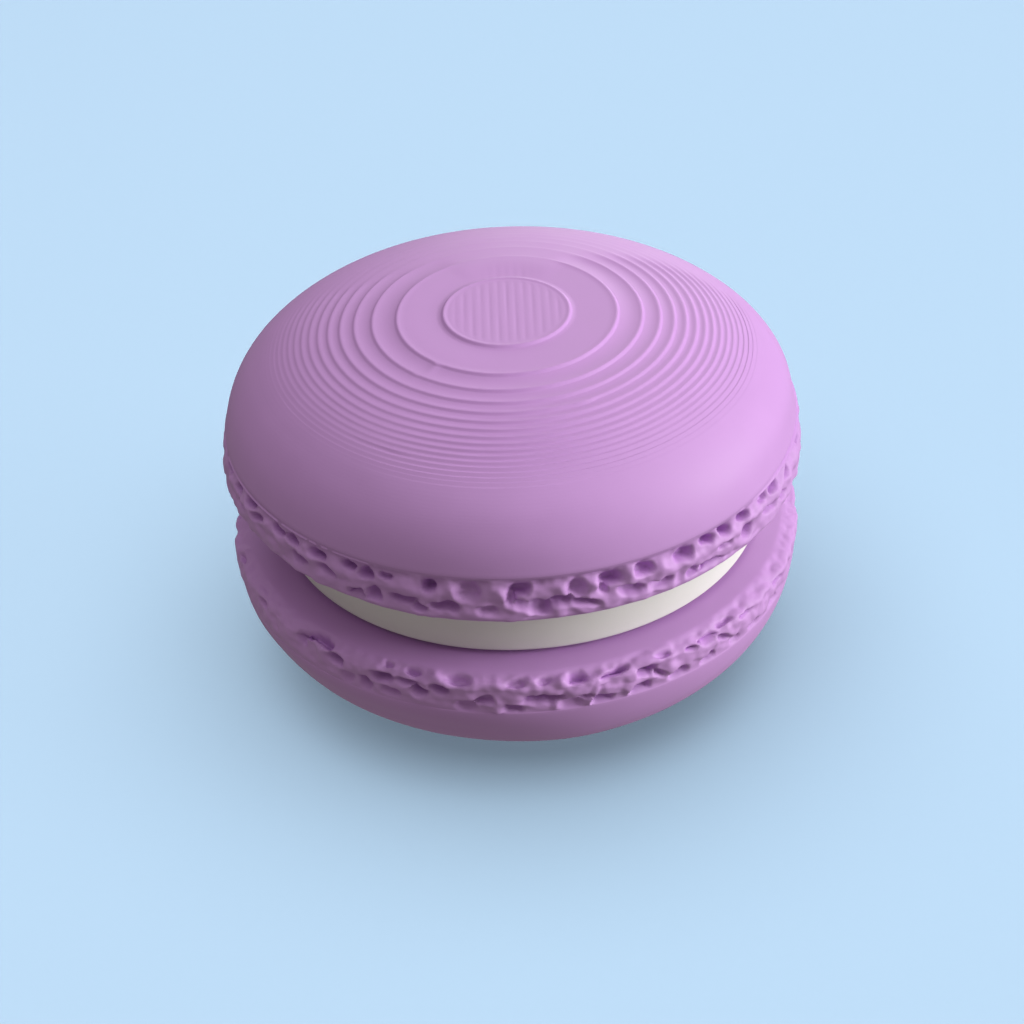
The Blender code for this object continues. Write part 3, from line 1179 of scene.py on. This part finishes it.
@dataclass
class Studio:
    """The floor, the soft lights and the camera at the photograph's viewing angle."""

    target: Row = (0.0, 0.0, 0.016)
    floor_size: float = 4.0
    paper: StudioPaper = StudioPaper(colour=(0.0594, 0.0825, 0.1067))
    camera_place: Row = (-0.00029, -0.13898, 0.1124)
    camera_forward: Row = (0.0, 0.8088, -0.5881)
    camera_up: Row = (0.0453, 0.5875, 0.8080)
    lens: float = 70.78
    sensor: float = 36.0
    nearest: float = 0.005
    farthest: float = 10.0
    sky: Row = (1.0, 0.95, 0.88)
    sky_strength: float = 0.245

    def build(self) -> None:
        """Lay the floor, hang the lights and set up the camera."""
        floor = self.lay_floor()
        for light in SOFT_LIGHTS:
            self.hang(light, floor)
        world = bpy.data.worlds.new("studio")
        world.use_nodes = True
        background = world.node_tree.nodes["Background"]
        background.inputs["Color"].default_value = (*self.sky, 1.0)
        background.inputs["Strength"].default_value = self.sky_strength
        bpy.context.scene.world = world
        bpy.context.scene.view_settings.view_transform = "Standard"
        self.set_camera()

    def lay_floor(self) -> Piece:
        """Lay the paper floor, which throws no blue light back at the macaron.

        Returns:
            The floor.
        """
        pick()
        bpy.ops.mesh.primitive_plane_add(size=self.floor_size, location=(0.0, 0.0, 0.0))
        floor = bpy.context.active_object
        floor.name = "floor"
        floor.data.materials.append(self.paper.material())
        floor.visible_diffuse = False
        floor.visible_glossy = False
        return floor

    def hang(self, light: SoftLight, floor: Piece) -> None:
        """Hang one square soft light that faces the macaron.

        Args:
            light: its place, size and power.
            floor: the paper floor, for a light that is flagged off the macaron.
        """
        lamp = bpy.data.lights.new(light.name, "AREA")
        lamp.shape = "SQUARE"
        lamp.size = light.size
        lamp.energy = light.power
        made = bpy.data.objects.new(light.name, lamp)
        bpy.context.scene.collection.objects.link(made)
        azimuth = math.radians(light.azimuth)
        across = light.distance
        made.location = (across * math.cos(azimuth), across * math.sin(azimuth), light.height)
        facing = Vector(self.target) - made.location
        made.rotation_euler = facing.to_track_quat("-Z", "Y").to_euler()
        made.visible_camera = False
        if light.floor_only:
            lit = bpy.data.collections.new("paper_only")
            lit.objects.link(floor)
            made.light_linking.receiver_collection = lit
            if not light.shadow:
                made.light_linking.blocker_collection = lit

    def set_camera(self) -> None:
        """Put the camera where the photograph was taken from."""
        data = bpy.data.cameras.new("camera")
        data.lens = self.lens
        data.sensor_width = self.sensor
        data.clip_start = self.nearest
        data.clip_end = self.farthest
        camera = bpy.data.objects.new("camera", data)
        bpy.context.scene.collection.objects.link(camera)
        back = -Vector(self.camera_forward).normalized()
        right = Vector(self.camera_up).cross(back).normalized()
        up = back.cross(right)
        turned = Matrix((right, up, back)).transposed().to_4x4()
        camera.matrix_world = Matrix.Translation(self.camera_place) @ turned
        bpy.context.scene.camera = camera


FAULTS_TOP = (
    StepFault(1, -128.3, 0.35 * MM, 0.13 * MM, 0.06 * MM),
    StepFault(2, -131.0, 0.3 * MM, 0.06 * MM, 0.02 * MM),
    StepFault(4, -65.8, 0.9 * MM, 0.1 * MM, -0.02 * MM),
    StepFault(11, -124.2, 2.4 * MM, 0.02 * MM, -0.16 * MM),
)
DENTS_TOP = (
    Dent(180.0, 60.0, 1.5 * MM, 30.0 * MM, 0.17 * MM),
    Dent(85.0, 60.0, 1.5 * MM, 30.0 * MM, 0.15 * MM),
    Dent(5.0, 40.0, 5.5 * MM, 30.0 * MM, 0.27 * MM),
)
DENTS_BOTTOM = (
    Dent(122.0, 32.0, 0.8 * MM, 9.0 * MM, 0.36 * MM),
)


def dress(piece: Piece, material: bpy.types.Material, node: str) -> None:
    """Give a piece its material and its place in the frame.

    Args:
        piece: the finished piece.
        material: its material.
        node: the CAD node that it stands for.
    """
    piece.data.materials.append(material)
    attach(piece, ROOT)
    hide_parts(node)
    LOG.info("%s: %d faces, stands for %s", piece.name, len(piece.data.polygons), node)


def main() -> None:
    """Build the macaron and its studio."""
    logging.basicConfig(level=logging.INFO)
    lilac = PrintedPlastic(LILAC_SLOT, colour=(0.57, 0.308, 0.665), roughness=0.55).material()
    white = PrintedPlastic(
        WHITE_SLOT, colour=(0.84, 0.855, 0.79), roughness=0.5, mottle=0.02, layer_relief=0.002 * MM
    ).material()
    top_low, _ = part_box("shell_top")
    _, bottom_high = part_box("shell_bottom")
    filling_low, filling_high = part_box("filling")

    lower_foot = Foot(
        3.1 * MM,
        seed=29,
        lay=Lay.DOME_DOWN,
        front_pits=LOWER_PITS,
        front_lumps=LOWER_LUMPS,
        lip_radius=23.575 * MM,
        crease_radius=23.6 * MM,
        corner_width=1.6 * MM,
        corner_height=0.9 * MM,
        lip_fade=0.9 * MM,
        sag=0.0,
        groove_depth=0.0,
        under_lip_depth=0.0,
        smooth_from=3.3 * MM,
    )
    lower_dome = Dome(lip_radius=23.6 * MM, lip_edge=0.1 * MM)
    lower = Shell("lower_shell", bottom_high.z, lower_foot, lower_dome, dents=DENTS_BOTTOM).build()
    dress(lower, lilac, "shell_bottom")

    filling = Filling(bottom=filling_low.z, top=filling_high.z).build()
    dress(filling, white, "filling")

    upper_foot = Foot(3.6 * MM, seed=11, lay=Lay.DOME_UP, front_pits=UPPER_PITS, front_lumps=UPPER_LUMPS)
    upper = Shell("upper_shell", top_low.z, upper_foot, faults=FAULTS_TOP, dents=DENTS_TOP).build()
    dress(upper, lilac, "shell_top")

    Studio().build()


if __name__ == "__main__":
    main()
